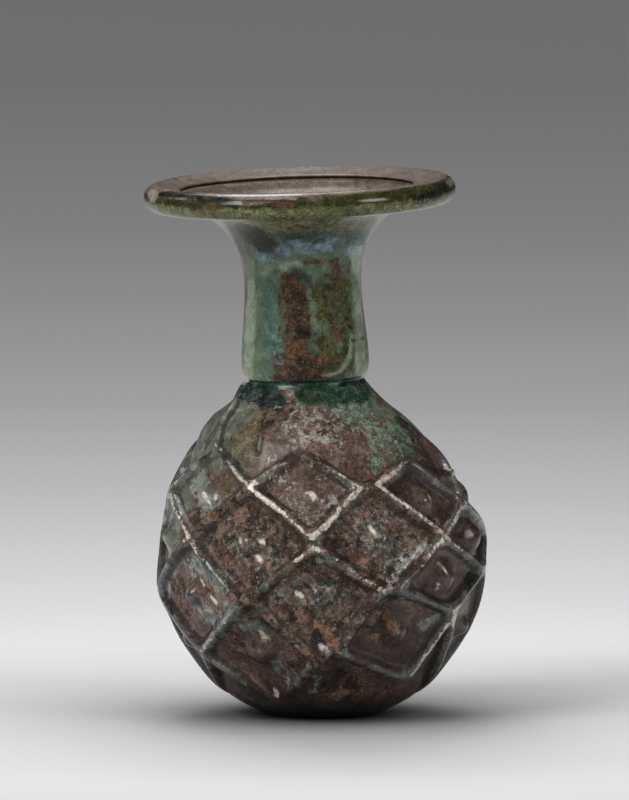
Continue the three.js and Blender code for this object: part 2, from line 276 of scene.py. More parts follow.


# How deep the glass lies under the nodes at each bearing from the globe's centre, and how much of
# that place is the crest of a rib, a boss or the line along a rib's top that carries a pale film and a
# painted highlight. The joints inside double nodes have no such line.
def relief(bearings):
    radius, uneven = globe["radius"], lattice["uneven"]
    places = bearings * radius
    sway = np.stack([waves(places, lattice["waverLength"], seed) for seed in (1, 2, 3)], 1)
    strayed = places + sway * lattice["waver"]
    strayed *= radius / np.linalg.norm(strayed, axis=1, keepdims=True)
    near, sagWeight, sagSum, boss = (np.zeros(len(places)) for _ in range(4))
    nearest = np.full(len(places), np.inf)
    ribs = latticeRibs()
    wholeRibs = len(ribs) - len(lattice["doubles"])
    for k, (start, end) in enumerate(ribs):
        spot, share = nearestOnArc(strayed / radius, bearing(*start), bearing(*end))
        away = np.linalg.norm(strayed - spot * radius, axis=1)
        away = away * (1 + uneven["ribWidth"] * math.sin(k * 2.1))
        if k < wholeRibs:
            nearest = np.minimum(nearest, away)
        near += np.exp(-away / lattice["ribJoin"])
        weight = np.exp(-away / lattice["sagReach"]) + 1e-9
        sagWeight += weight
        sagSum += weight * np.sin(np.pi * share)
    away = np.maximum(-lattice["ribJoin"] * np.log(near + 1e-30), 0)
    crest = 1 - smoothStep(away, lattice["ribCrown"], lattice["ribHalf"])
    rise = lattice["ribHeight"] * (1 + uneven["ribHeight"] * waves(places, lattice["heightLength"], 5))
    inPanel = np.minimum(away, lattice["panelReach"]) / lattice["panelReach"]
    dish = lattice["panelDish"] * inPanel ** lattice["dishPower"]
    depth = rise * (1 - crest ** lattice["ribEdge"]) + dish + lattice["ribSag"] * sagSum / sagWeight
    for k, middle in enumerate(latticePanels()):
        size = lattice["bossRadius"] * (1 + uneven["bossWidth"] * math.sin(k * 1.9))
        away = np.linalg.norm(strayed - bearing(*middle) * radius, axis=1) / size
        height = 1 + uneven["bossHeight"] * math.cos(k * 2.3)
        boss = np.maximum(boss, np.maximum(0, 1 - away**2) ** 2 * height)
    depth -= boss * lattice["bossHeight"]
    latitude = np.degrees(np.arcsin(np.clip(bearings[:, 2], -1, 1)))
    above = smoothStep(latitude, *lattice["fade"])
    below = smoothStep(-latitude, *lattice["footFade"])
    plain = np.maximum(above, below)
    depth = depth * (1 - plain) + globe["seamDepth"] * plain
    line = (1 - smoothStep(nearest, *lattice["ribLine"])) * (1 - plain)
    return depth, crest * (1 - plain), boss, line


def foldRise(bearings):
    rise = np.zeros(len(bearings))
    for line, halfWidth, height in folds:
        for start, end in zip(line, line[1:]):
            spot, _ = nearestOnArc(bearings, bearing(*start), bearing(*end))
            away = np.linalg.norm(bearings - spot, axis=1) * globe["radius"] / halfWidth
            rise = np.maximum(rise, height * (1 - smoothStep(away, 0.1, 1)))
    return rise


# Points on a smooth curve through a few given ones
def smoothLine(points, between=5):
    spots = [np.array(point, float) for point in points]
    spots = [2 * spots[0] - spots[1]] + spots + [2 * spots[-1] - spots[-2]]
    line = []
    for a, b, c, d in zip(spots, spots[1:], spots[2:], spots[3:]):
        for i in range(between):
            t = i / between
            square, cube = 2 * a - 5 * b + 4 * c - d, 3 * b - a - 3 * c + d
            line.append(0.5 * (2 * b + (c - a) * t + square * t**2 + cube * t**3))
    return [tuple(spot) for spot in line] + [tuple(spots[-2])]


# A profile of radius and height, drawn point by point and spun about an axis
def spunPiece(name, profile, place, steps=240):
    spots = [place @ Vector((radius * mm, 0, height * mm)) for radius, height in profile]
    bpy.ops.object.select_all(action="DESELECT")
    bpy.ops.mesh.primitive_plane_add(size=mm, location=spots[0])
    piece = bpy.context.object
    piece.name = name
    editAll(piece)
    bpy.ops.mesh.merge(type="CENTER")
    for last, spot in zip(spots, spots[1:]):
        bpy.ops.mesh.extrude_region_move(TRANSFORM_OT_translate={"value": spot - last})
    bpy.ops.mesh.select_all(action="SELECT")
    axis = place.to_3x3() @ Vector((0, 0, 1))
    bpy.ops.mesh.spin(steps=steps, angle=2 * math.pi, center=place.translation, axis=axis)
    bpy.ops.mesh.select_all(action="SELECT")
    bpy.ops.mesh.remove_doubles(threshold=0.002 * mm)
    bpy.ops.mesh.normals_make_consistent(inside=False)
    doneEditing()
    bpy.ops.object.transform_apply(location=True, rotation=False, scale=False)
    return piece


def arc(centre, radius, start, end, count):
    turns = [math.radians(start + (end - start) * i / count) for i in range(count + 1)]
    return [(centre[0] + radius * math.cos(t), centre[1] + radius * math.sin(t)) for t in turns]


def globeBand(name, radius, ringStep):
    count = round((globe["upperSeam"] - globe["lowerSeam"]) / ringStep)
    profile = arc((0, globe["centre"]), radius, globe["lowerSeam"], globe["upperSeam"], count)
    return spunPiece(name, profile, Matrix.Identity(4), globe["segments"])


# The band is pushed out to the lattice by weight, then sideways where the axis drifts to the neck.
def pushBand(band, radius, depths):
    points = pointsOf(band) - (0, 0, globe["centre"] * mm)
    bearings = points / np.linalg.norm(points, axis=1, keepdims=True)
    latitude = np.degrees(np.arcsin(np.clip(bearings[:, 2], -1, 1)))
    reach = nodeReach(latitude) - depths(bearings)
    weigh(band, "relief", (reach - radius) / globe["push"])
    displace(band, "relief", globe["push"])
    heights = globe["centre"] + reach * bearings[:, 2]
    weigh(band, "drift", smoothStep(heights, *globe["drift"]))
    displace(band, "drift", neck["offset"], "X")


def lozengeGlobe():
    lowest = globe["radius"] - globe["bandDepth"]
    outside = globeBand("lozenge_globe", lowest, globe["ringStep"])
    pushBand(outside, lowest, lambda bearings: relief(bearings)[0] - foldRise(bearings))
    inner = globe["radius"] - globe["cavityDepth"]
    inside = globeBand("cavity", inner, globe["innerRingStep"])
    pushBand(inside, inner, lambda bearings: np.full(len(bearings), globe["cavityDepth"]))
    editAll(inside)
    bpy.ops.mesh.flip_normals()
    doneEditing()
    onlySelect(outside, inside)
    bpy.ops.object.join()
    editAll(outside)
    bpy.ops.mesh.select_mode(type="EDGE")
    for upper in (True, False):
        bpy.ops.mesh.select_all(action="DESELECT")
        bpy.ops.mesh.select_non_manifold(extend=False, use_multi_face=False, use_non_contiguous=False)
        doneEditing()
        for edge in outside.data.edges:
            above = outside.data.vertices[edge.vertices[0]].co.z > globe["centre"] * mm
            if edge.select and above != upper:
                edge.select = False
        bpy.ops.object.mode_set(mode="EDIT")
        bpy.ops.mesh.bridge_edge_loops()
    doneEditing()
    return outside


# The leaning frame of the neck and mouth: heights count from the neck's seat on the shoulder
seamReach = nodeReach(globe["upperSeam"]) - globe["seamDepth"]
seatHeight = globe["centre"] + seamReach * math.sin(math.radians(globe["upperSeam"])) + neck["seatRise"]
neckPlace = Matrix.Translation((neck["offset"] * mm, 0, seatHeight * mm)) @ Matrix.Rotation(
    -math.radians(neck["lean"]), 4, "Y"
)

shoulder = {
    "swell": -0.25,
    "wall": 1.5,
    "rings": 18,
    "innerRings": 4,
    "skinDepth": 1.5,  # points deeper than this lie inside
    "push": 2,  # millimetres that a weight of 1 pushes
}


# The dome between the lattice and the neck: a ring of the globe, extruded up to the leaning seat
# and down again inside
def shoulderDome():
    seam = math.radians(globe["upperSeam"])
    rings = []
    for depth, seatRadius, count, upwards in (
        (globe["seamDepth"], neck["waistRadius"], shoulder["rings"], True),
        (globe["cavityDepth"], neck["waistRadius"] - shoulder["wall"], shoulder["innerRings"], False),
    ):
        reach = nodeReach(globe["upperSeam"]) - depth
        height = globe["centre"] + reach * math.sin(seam)
        drift = neck["offset"] * float(smoothStep(height, *globe["drift"]))
        for i in range(count + 1):
            t = i / count if upwards else 1 - i / count
            swell = shoulder["swell"] * math.sin(math.pi * t)
            rings.append((
                drift + (neck["offset"] - drift) * t,
                height + (seatHeight - height) * t + swell,
                reach * math.cos(seam) * (1 - t) + seatRadius * t + swell,
                neck["lean"] * t,
            ))
    rings.append(rings[0])
    bpy.ops.object.select_all(action="DESELECT")
    bpy.ops.mesh.primitive_circle_add(
        vertices=globe["segments"],
        radius=rings[0][2] * mm,
        location=(rings[0][0] * mm, 0, rings[0][1] * mm),
    )
    dome = bpy.context.object
    dome.name = "shoulder_dome"
    editAll(dome)
    for last, ring in zip(rings, rings[1:]):
        step = ((ring[0] - last[0]) * mm, 0, (ring[1] - last[1]) * mm)
        bpy.ops.mesh.extrude_region_move(TRANSFORM_OT_translate={"value": step})
        middle = (ring[0] * mm, 0, ring[1] * mm)
        grow = ring[2] / last[2]
        bpy.ops.transform.resize(value=(grow, grow, grow), center_override=middle)
        bpy.ops.transform.rotate(
            value=math.radians(ring[3] - last[3]), orient_axis="Y", center_override=middle
        )
    bpy.ops.mesh.select_all(action="SELECT")
    bpy.ops.mesh.remove_doubles(threshold=0.01 * mm)
    bpy.ops.mesh.normals_make_consistent(inside=False)
    doneEditing()
    bpy.ops.object.transform_apply(location=True, rotation=False, scale=False)
    points = fromCentre(pointsOf(dome))
    reach = np.linalg.norm(points, axis=1)
    outside = reach > globe["radius"] - shoulder["skinDepth"]
    weigh(dome, "folds", foldRise(points / reach[:, None]) / shoulder["push"] * outside)
    displace(dome, "folds", shoulder["push"])
    return dome


# Places from the globe's centre, with its drift taken out
def fromCentre(points):
    places = points / mm
    places[:, 0] -= neck["offset"] * smoothStep(places[:, 2], *globe["drift"])
    places[:, 2] -= globe["centre"]
    return places


def footPad():
    footLatitude = -math.degrees(math.acos(globe["footRadius"] / globe["plainRadius"]))
    centre = (0, globe["centre"])
    outside = arc(centre, globe["plainRadius"], footLatitude, globe["lowerSeam"], 10)
    outside[0] = (globe["footRadius"], 0)
    cavity = globe["radius"] - globe["cavityDepth"]
    seam = math.radians(globe["lowerSeam"])
    edge = (cavity * math.cos(seam), globe["centre"] + cavity * math.sin(seam))
    floor = smoothLine([edge, (edge[0] * 0.65, globe["baseThickness"] + 0.5), (0, globe["baseThickness"])])
    hollow = [(0, 0.5), (globe["footRadius"] * 0.6, 0.35), (globe["footRadius"] * 0.85, 0.02)]
    return spunPiece("foot_pad", hollow + outside + floor, Matrix.Identity(4), globe["segments"])


washer = {
    "holeRadius": 3,
    "web": 1.1,
    "foldDepth": 2.4,
    "foldWidth": 1.7,
    "gap": 0.3,
    "inside": ((8.95, 1.5), (8.6, 0.6)),  # where its wall meets the neck's bore
}


def pinchedWeb():
    waist, hole = neck["waistRadius"], washer["holeRadius"]
    rise = washer["gap"]
    foldOutside = waist - shoulder["wall"] - washer["gap"]
    foldInside = foldOutside - washer["foldWidth"]
    depth, web = washer["foldDepth"], washer["web"]
    groove = smoothLine([
        (waist, 0), (waist - 0.35, rise + 0.35), (waist - 0.3, rise + 0.75), (waist + 0.1, 1.5)
    ])
    inner = smoothLine([
        *washer["inside"], (foldInside, rise + web - depth + 0.6), (hole + 0.9, rise + web - depth)
    ])
    lip = smoothLine([(hole, rise + web / 2 - depth), (hole + 0.7, rise - depth)])
    fold = smoothLine([(foldInside + 0.8, rise - depth), (foldOutside, rise - depth * 0.7), (foldOutside, 0)])
    return spunPiece("pinched_web", groove + inner + lip + fold + [groove[0]], neckPlace)


tube = {
    "wall": 1.7,
    "outline": (
        (11.1, 1.5), (11.46, 2.5), (11.62, 4.2), (11.47, 7.4), (11.0, 12), (10.72, 15.9), (10.65, 18.6)
    ),
}


def neckTube():
    outside = smoothLine(tube["outline"])
    inside = [(radius - tube["wall"], height) for radius, height in reversed(outside)]
    return spunPiece("neck_glass", outside + inside + [outside[0]], neckPlace)


mouth = {
    "foot": 18.6,
    "reach": 10.5,
    "rise": 13.5,
    "turn": 70,  # degrees of the trumpet's quarter turn before the disc begins
    "radius": 28.4,
    "wall": 1.6,
    "discRise": 1,
    "roll": 2.45,
    "stripWidth": 4.9,
    "stripGap": 0.1,
    "stripThickness": 0.6,
    "stripSway": -0.8,  # how far its edge is out of round
}


def trumpetLine(wall, count=18):
    line = []
    for i in range(count + 1):
        turn = math.radians(mouth["turn"] * i / count)
        radius = tube["outline"][-1][0] - wall + (mouth["reach"] + wall) * (1 - math.cos(turn))
        line.append((radius, mouth["foot"] + (mouth["rise"] + wall) * math.sin(turn)))
    return line


discInner, discTop = trumpetLine(0)[-1], trumpetLine(tube["wall"])[-1]
rollFoot = discInner[1] + mouth["discRise"]
rimTop = rollFoot + 2 * mouth["roll"]
rollMiddle = (mouth["radius"] - mouth["roll"], rollFoot + mouth["roll"])


def trumpet():
    outside, inside = trumpetLine(0), trumpetLine(tube["wall"])[::-1]
    return spunPiece("trumpet_glass", outside + inside + [outside[0]], neckPlace)


def mouthDisc():
    fused = rimTop - mouth["wall"] - mouth["stripGap"]
    edge = rollMiddle[0] - mouth["stripWidth"]
    under = smoothLine([discInner, (21, discInner[1] + 0.4), (rollMiddle[0], rollFoot)])
    over = smoothLine([
        (rollMiddle[0], fused), (edge + 1, fused), (edge - 0.4, fused - 0.3), (19, discTop[1] + 1.1), discTop
    ])
    return spunPiece("disc_glass", under + over + [under[0]], neckPlace)


def rolledEdge():
    outside = arc(rollMiddle, mouth["roll"], -90, 90, 30)
    inside = arc(rollMiddle, mouth["roll"] - mouth["wall"], 90, -90, 16)
    return spunPiece("rolled_edge", outside + inside + [outside[0]], neckPlace)


# The strip that the fold leaves on the disc. Its edge stands a little to one side and wavers.
def foldedStrip():
    foot = rimTop - mouth["wall"]
    thick = mouth["stripThickness"]
    edge = rollMiddle[0] - mouth["stripWidth"]
    middle = (edge + rollMiddle[0]) / 2
    over = smoothLine([(rollMiddle[0], rimTop), (middle, foot + thick + 0.4), (edge + 0.7, foot + thick)])
    tip = smoothLine([
        (edge + 0.2, foot + thick - 0.12), (edge, foot + thick / 2), (edge + 0.25, foot + 0.06)
    ])
    under = [(edge + 0.6, foot), (rollMiddle[0], foot), over[0]]
    strip = spunPiece("folded_strip", over + tip + under, neckPlace)
    places = (neckPlace.inverted() @ Vector(point) for point in pointsOf(strip))
    shares = []
    for place in places:
        inwards = (rollMiddle[0] - place.xy.length / mm) / mouth["stripWidth"]
        waver = 1 + 0.5 * math.sin(3 * math.atan2(place.x, -place.y) + 1)
        shares.append(min(max(inwards, 0), 1) * waver / 1.5)
    weigh(strip, "sway", shares)
    displace(strip, "sway", mouth["stripSway"], "X")
    return strip


# Paint. Each layer holds strokes: how wide one is in pixels of the photo, how strong, and the
# pixels that it runs through. The back gets the same strokes, turned half round.
bodyPaint = {
    "moss": (
        (36, 1, (258, 404), (250, 436), (240, 462)), (18, 0.8, (234, 468), (216, 512), (196, 522)),
        (9, 0.7, (268, 406), (306, 410)), (12, 0.7, (170, 520), (166, 560)),
    ),
    # Umber crust, deepened into painted shade down the right side and along the bottom.
    "umberAndShade": (
        (46, 1, (474, 520), (478, 570), (464, 640), (430, 690)),
        (34, 0.9, (404, 500), (424, 480), (440, 506)), (60, 1, (352, 646), (376, 624), (410, 650)),
        (44, 0.9, (416, 560), (446, 592)), (44, 1, (330, 690), (300, 706), (400, 706)),
        (40, 0.8, (236, 650), (262, 668), (286, 690)), (44, 0.6, (318, 610), (330, 640)),
        (22, 0.8, (400, 420), (436, 470)),
    ),
    "clear": (
        (30, 1, (244, 392), (224, 424), (206, 452)),
        (34, 1, (206, 436), (176, 482), (160, 530), (152, 580)), (24, 1, (194, 478), (204, 506)),
        (12, 0.9, (222, 446), (240, 474), (244, 492)), (8, 0.9, (244, 486), (224, 514), (206, 538)),
        (12, 0.9, (158, 590), (166, 612)),
    ),
    "green": (
        (32, 1, (350, 406), (376, 420), (398, 446)), (14, 0.9, (372, 446), (378, 470)),
        (16, 0.7, (388, 404), (412, 424)), (16, 0.7, (380, 546), (400, 556)),
        (18, 0.6, (342, 596), (364, 572)), (9, 0.7, (350, 486), (380, 490)),
        (9, 0.6, (326, 578), (336, 566)),
    ),
    "ribs": (
        (40, 1, (176, 484), (196, 540), (238, 606), (204, 654)),
        (30, 1, (166, 500), (160, 590), (204, 654)), (30, 1, (238, 606), (320, 664), (284, 706)),
        (26, 1, (204, 654), (284, 706)), (26, 1, (320, 664), (408, 684), (456, 612)),
        (28, 1, (390, 592), (456, 614), (446, 536)), (24, 0.9, (334, 656), (392, 592)),
        (30, 1, (356, 490), (404, 464), (448, 474)),
        (30, 1, (372, 490), (446, 534), (466, 504), (484, 560)),
        (24, 0.9, (250, 488), (306, 448), (364, 490)), (20, 0.8, (258, 492), (310, 544), (360, 496)),
        (18, 0.7, (318, 548), (392, 592)), (16, 0.4, (240, 604), (300, 552)),
        (26, 0.9, (470, 560), (456, 640), (408, 684)),
    ),
    "flaky": (
        (66, 1, (226, 540), (276, 548)), (44, 1, (250, 512), (244, 588)),
        (20, 0.9, (190, 520), (232, 504)), (60, 1, (346, 534), (410, 538)),
        (36, 0.9, (376, 504), (382, 574)), (64, 1, (276, 606), (350, 598)),
        (40, 1, (314, 572), (324, 644)), (34, 0.7, (304, 672), (350, 692)),
        (14, 1, (168, 584), (178, 610)), (14, 1, (198, 554), (204, 572)),
        (14, 0.8, (254, 620), (272, 634)), (20, 0.9, (288, 652), (308, 664)),
        (18, 0.8, (222, 640), (242, 660)), (9, 1, (204, 546), (236, 584)),
        (14, 1, (386, 612), (394, 636)), (12, 0.8, (374, 624), (380, 642)),
        (12, 0.6, (416, 560), (424, 576)), (18, 0.5, (272, 420), (290, 412)),
    ),
    # Dark glass, and painted shade along the bottom, down the left side and in small spots just under the
    # bosses.
    "dark": (
        (24, 1, (163, 604), (180, 650), (202, 684)),
        (22, 1, (190, 684), (250, 708), (310, 716), (400, 712)), (10, 0.9, (176, 556), (192, 562)),
        (14, 0.8, (214, 672), (262, 698)), (18, 0.7, (324, 586), (316, 594)),
        (10, 0.55, (308, 505), (318, 506)), (9, 0.4, (372, 542), (384, 542)),
        (8, 0.4, (250, 568), (262, 568)), (8, 0.4, (296, 606), (306, 606)),
        (9, 0.7, (196, 626), (214, 628)), (8, 0.8, (476, 560), (470, 600)),
    ),
    "orange": (
        (12, 1, (324, 626), (333, 643)), (8, 1, (390, 614), (394, 634)), (7, 1, (386, 464), (392, 476)),
        (8, 1, (200, 585), (207, 592)), (9, 0.9, (354, 555), (364, 562)),
        (7, 0.9, (224, 544), (232, 552)), (7, 0.8, (290, 598), (310, 602)),
        (6, 0.9, (371, 470), (377, 478)), (8, 0.7, (266, 566), (274, 576)),
        (6, 0.8, (362, 514), (352, 524)), (7, 0.8, (206, 518), (216, 514)),
        (6, 0.7, (300, 648), (306, 654)),
    ),
    "nacre": (
        (20, 0.7, (190, 566), (214, 582), (228, 606)), (14, 0.7, (184, 596), (198, 618), (214, 624)),
        (10, 0.7, (208, 644), (234, 614)), (13, 0.5, (190, 482), (204, 502)),
        (10, 0.75, (242, 630), (256, 628), (263, 640)), (11, 0.6, (274, 668), (285, 684)),
        (7, 0.8, (338, 656), (347, 661)), (9, 0.7, (426, 632), (440, 620)),
        (6, 0.6, (400, 596), (426, 604)), (8, 0.6, (164, 524), (170, 542)),
        (7, 0.5, (318, 560), (338, 566)), (10, 0.5, (322, 664), (312, 692)),
        (10, 0.4, (236, 544), (244, 560)), (6, 0.5, (350, 666), (402, 682)),
        (30, 0.25, (232, 540), (264, 562)), (30, 0.22, (352, 520), (392, 548)),
        (34, 0.2, (280, 584), (330, 606)),
    ),
    "silver": (
        (30, 0.42, (296, 436), (312, 422), (330, 436)), (22, 0.34, (300, 406), (334, 410)),
        (8, 0.7, (303, 441), (330, 441)), (7, 0.6, (333, 493), (337, 502)),
        (9, 0.75, (402, 568), (428, 545)), (8, 0.6, (386, 590), (402, 570)),
        (6, 0.7, (364, 536), (372, 538)), (12, 0.5, (186, 486), (202, 504)),
        (28, 0.3, (352, 410), (380, 440)), (28, 0.26, (278, 466), (300, 508)),
        (14, 0.28, (326, 500), (308, 522)), (50, 0.12, (240, 520), (262, 574)),
        (50, 0.16, (366, 512), (392, 556)), (60, 0.12, (290, 590), (336, 610)),
        (30, 0.16, (190, 570), (214, 612)),
    ),
    "navy": ((12, 0.9, (243, 393), (262, 398), (278, 400)), (6, 0.6, (238, 400), (246, 396))),
    "emerald": ((11, 0.85, (300, 393), (330, 397), (366, 394)), (6, 0.7, (268, 403), (282, 402))),
    "gold": (
        (12, 0.24, (266, 446), (270, 463)), (18, 0.22, (312, 454), (323, 476)),
        (10, 0.24, (330, 472), (348, 486)), (5, 0.34, (274, 408), (312, 408)),
        (10, 0.22, (264, 498), (292, 514)), (10, 0.24, (262, 480), (286, 464)),
        (26, 0.2, (228, 470), (216, 500)), (26, 0.2, (250, 410), (256, 450)),
    ),
    # A pale film on the rib tops, drawn as painted highlight lines along them.
    "crestFilmAndHighlight": (
        (15, 1, (261, 495), (284, 518), (307, 542)), (15, 1, (307, 542), (332, 524), (356, 495)),
        (15, 0.6, (257, 488), (282, 466), (296, 454)), (15, 0.75, (308, 450), (330, 468), (356, 489)),
        (14, 0.85, (356, 489), (380, 490)), (14, 0.75, (382, 492), (412, 512), (447, 535)),
        (14, 0.9, (376, 486), (406, 465)), (10, 0.75, (389, 419), (412, 433)),
        (10, 0.8, (410, 449), (427, 455)), (12, 0.9, (420, 458), (436, 467)),
        (14, 1, (438, 466), (450, 474)), (14, 0.9, (447, 535), (464, 508)),
        (12, 0.6, (464, 492), (482, 556)), (14, 0.75, (206, 464), (170, 492)),
        (14, 0.85, (172, 492), (188, 538)), (14, 0.9, (218, 450), (240, 482)),
        (14, 1, (252, 484), (262, 492)), (16, 0.8, (197, 543), (234, 584)),
        (18, 1, (436, 536), (402, 572), (388, 590)), (12, 0.65, (332, 550), (380, 590)),
        (13, 0.9, (298, 557), (307, 546), (320, 547)), (13, 0.75, (206, 648), (237, 612)),
        (13, 0.5, (264, 612), (318, 662)), (13, 0.55, (204, 656), (244, 674), (282, 706)),
        (13, 0.45, (323, 664), (296, 700)), (13, 0.6, (384, 596), (340, 650)),
        (13, 0.95, (447, 626), (412, 670)), (13, 0.5, (402, 594), (454, 612)),
        (13, 0.55, (346, 664), (408, 682)), (10, 1, (453, 618), (456, 602)),
        (14, 0.65, (424, 562), (440, 546), (460, 550)), (14, 0.6, (154, 540), (157, 590)),
    ),
    # Painted highlights: small bright spots on the bosses.
    "paintedGlint": (
        (6, 0.8, (311, 493), (314, 497)), (4, 0.6, (429, 495), (431, 500)),
        (4, 1, (372, 525), (376, 532)), (4, 0.8, (238, 538), (239, 541)), (5, 1, (253, 556), (257, 560)),
        (5, 1, (295, 594), (300, 598)), (5, 0.9, (257, 538), (259, 541)), (5, 1, (205, 600), (210, 604)),
        (4, 0.8, (442, 585), (441, 590)), (5, 0.8, (275, 692), (277, 696)),
        (5, 0.8, (203, 495), (204, 499)), (5, 0.6, (194, 581), (196, 585)),
        (6, 0.7, (257, 635), (261, 641)), (5, 0.6, (320, 648), (326, 650)),
    ),
}

neckPaint = {
    "slate": (
        (20, 1, (266, 246), (300, 240), (345, 240), (360, 238)), (12, 0.7, (312, 340), (318, 374)),
        (8, 0.7, (286, 352), (292, 368)), (10, 0.5, (320, 300), (322, 330)),
    ),
    "teal": ((18, 1, (272, 285), (272, 330), (276, 376)), (14, 0.7, (288, 268), (298, 274))),
    "oliveGlass": (
        (14, 1, (318, 292), (346, 290)), (34, 0.9, (334, 296), (335, 340)),
        (32, 1, (338, 340), (334, 374)), (4, 0.6, (280, 290), (281, 345)),
        (12, 0.8, (318, 374), (336, 378)),
    ),
    # Painted light: pale bands of light down both edges of the neck and thin highlight lines across it.
    "paintedEdgeLight": (
        (11, 1, (250, 262), (250, 320), (249, 382)), (12, 1, (357, 252), (358, 300), (361, 372)),
        (4, 0.9, (352, 334), (350, 356), (341, 371), (320, 378)),
        (6, 0.8, (262, 272), (280, 266), (300, 264)), (5, 0.5, (270, 382), (350, 382)),
    ),
    "mottled": (
        (13, 1, (232, 222), (262, 227), (300, 227), (345, 227), (372, 222)),
        (6, 0.5, (254, 250), (262, 254)),
    ),
    "rust": (
        (26, 1, (292, 284), (296, 305), (298, 330), (298, 352)), (24, 1, (284, 364), (314, 366)),
        (14, 1, (278, 380), (326, 382)), (8, 0.8, (302, 262), (322, 264)),
        (10, 0.9, (334, 262), (338, 276)), (8, 0.8, (328, 276), (338, 280)),
        (8, 0.6, (332, 300), (336, 320)), (8, 0.8, (334, 330), (338, 338)),
        (7, 0.7, (328, 358), (340, 362)), (4, 0.7, (350, 262), (348, 272)),
        (4, 0.7, (348, 304), (350, 312)),
    ),
    # Dark glass, and a painted dark outline of shade down the right edge of the neck.
    "dark": (
        (20, 1, (244, 230), (266, 244)), (12, 0.55, (296, 276), (308, 282)),
        (4, 0.8, (371, 335), (372, 384)), (5, 0.7, (352, 342), (364, 340)),
        (10, 0.4, (318, 334), (330, 345)), (14, 0.26, (300, 300), (306, 350)),
    ),
    "plum": ((7, 0.9, (228, 222), (236, 238), (243, 258)), (3, 0.7, (246, 262), (246, 300))),
    # Blue iridescent film, painted partly as highlights: a bright arc along the flare.
    "blueFilmAndHighlight": (
        (10, 1, (260, 258), (272, 256), (286, 250)), (10, 0.6, (290, 246), (312, 250), (338, 243)),
        (10, 0.7, (350, 250), (358, 258)), (10, 0.3, (276, 342), (280, 360)),
    ),
    "emerald": ((6, 1, (262, 386), (300, 388), (364, 388)),),
}

mouthPaint = {
    "rust": (
        (6, 1, (246, 203), (294, 207)), (8, 0.6, (186, 208), (224, 208)),
        (5, 0.5, (300, 198), (330, 196)),
    ),
    "dark": (
        (9, 0.8, (160, 193), (210, 199), (232, 203)), (11, 0.95, (420, 202), (436, 194), (442, 188)),
        (4, 0.4, (350, 193), (416, 189)), (5, 0.7, (452, 200), (456, 188)),
    ),
    # Painted highlights: a lilac-silver band along the top front of the rim.
    "paintedLilacHighlight": (
        (7, 1, (220, 196), (262, 198), (300, 195)), (4, 0.6, (176, 197), (190, 193)),
        (3, 0.8, (300, 195), (346, 192)), (26, 0.4, (270, 182), (310, 190)),
    ),
    # Painted light: the glow at both ends of the rim, where light comes through, and small bright highlights.
    "paintedGlow": (
        (12, 1, (149, 192), (153, 198)), (4, 0.8, (176, 199), (184, 199)),
        (9, 0.9, (446, 186), (452, 182)), (3, 0.6, (238, 200), (296, 200)),
        (3, 0.6, (250, 212), (254, 214)), (4, 0.9, (306, 219), (310, 220)),
    ),
    "specks": (
        (12, 0.34, (236, 214), (300, 216), (400, 210), (430, 204)), (4, 0.7, (300, 218), (310, 220)),
    ),
}


# The flask's outside, as radius and sideways drift of its axis at each height
def outsideTable():
    centre, plain = globe["centre"], globe["plainRadius"]
    rows = [(0, globe["footRadius"], 0)]
    for latitude in range(-70, 58, 4):
        height = centre + plain * math.sin(math.radians(latitude))
        drift = neck["offset"] * float(smoothStep(height, *globe["drift"]))
        rows.append((height, plain * math.cos(math.radians(latitude)), drift))
    rows.append((seatHeight, neck["waistRadius"], neck["offset"]))
    rim = arc(rollMiddle, mouth["roll"], -90, 90, 12)
    for radius, height in tube["outline"] + tuple(trumpetLine(0)) + tuple(rim):
        drift = neck["offset"] - math.sin(math.radians(neck["lean"])) * height
        rows.append((seatHeight + height, radius, drift))
    return np.array(rows).T


outline = outsideTable()


# Where a pixel of the photo lies on the flask's front, in millimetres
def onGlass(pixel):
    heights, radii, drifts = outline
    tilt = math.radians(photo["elevation"])
    across = (pixel[0] - photo["foot"][0]) * photo["mmPerPixel"]
    up = (photo["foot"][1] - pixel[1]) * photo["mmPerPixel"]
    away = 0
    for _ in range(12):
        height = (up - away * math.sin(tilt)) / math.cos(tilt)
        radius, drift = np.interp(height, heights, radii), np.interp(height, heights, drifts)
        away = 0.5 * away - 0.5 * math.sqrt(max(radius**2 - (across - drift) ** 2, 0))
    return np.array([across, away, height])


# On the globe paint is measured on one sphere, so that ribs and sunk panels take it alike.
def onSphere(places):
    places = fromCentre(places * mm)
    return places / np.linalg.norm(places, axis=1, keepdims=True) * globe["plainRadius"]


# How each skin takes its paint. A stroke is as wide as it looks from the front, so depth counts
# for less than the other ways, apart from small spots on the globe. The back's copy is fainter on
# the mouth, where it shows from the front.
paintWays = {
    "globe": {"onSphere": True, "depthShare": 0.3, "roundUnder": 8, "echo": 1},
    "neck": {"onSphere": False, "depthShare": 0.3, "roundUnder": 0, "echo": 1},
    "mouth": {"onSphere": False, "depthShare": 0.7, "roundUnder": 0, "echo": 0.3},
}


# A stroke fades from half of its half width to one and a half of it.
def strokeMask(places, strokes, way):
    mask = np.zeros(len(places))
    for width, strength, *line in strokes:
        squeeze = np.array([1, 1 if width < way["roundUnder"] else way["depthShare"], 1])
        spots = np.array([onGlass(pixel) for pixel in line])
        spots = (onSphere(spots) if way["onSphere"] else spots) * squeeze
        squeezed = places * squeeze
        nearest = np.full(len(places), np.inf)
        for a, b in zip(spots, spots[1:]):
            along = np.clip((squeezed - a) @ (b - a) / max((b - a) @ (b - a), 1e-9), 0, 1)
            nearest = np.minimum(nearest, ((squeezed - a - np.outer(along, b - a)) ** 2).sum(1))
        away = np.sqrt(nearest) / (width / 2 * photo["mmPerPixel"])
        mask = np.maximum(mask, strength * (1 - smoothStep(away, 0.5, 1.5)))
    return mask


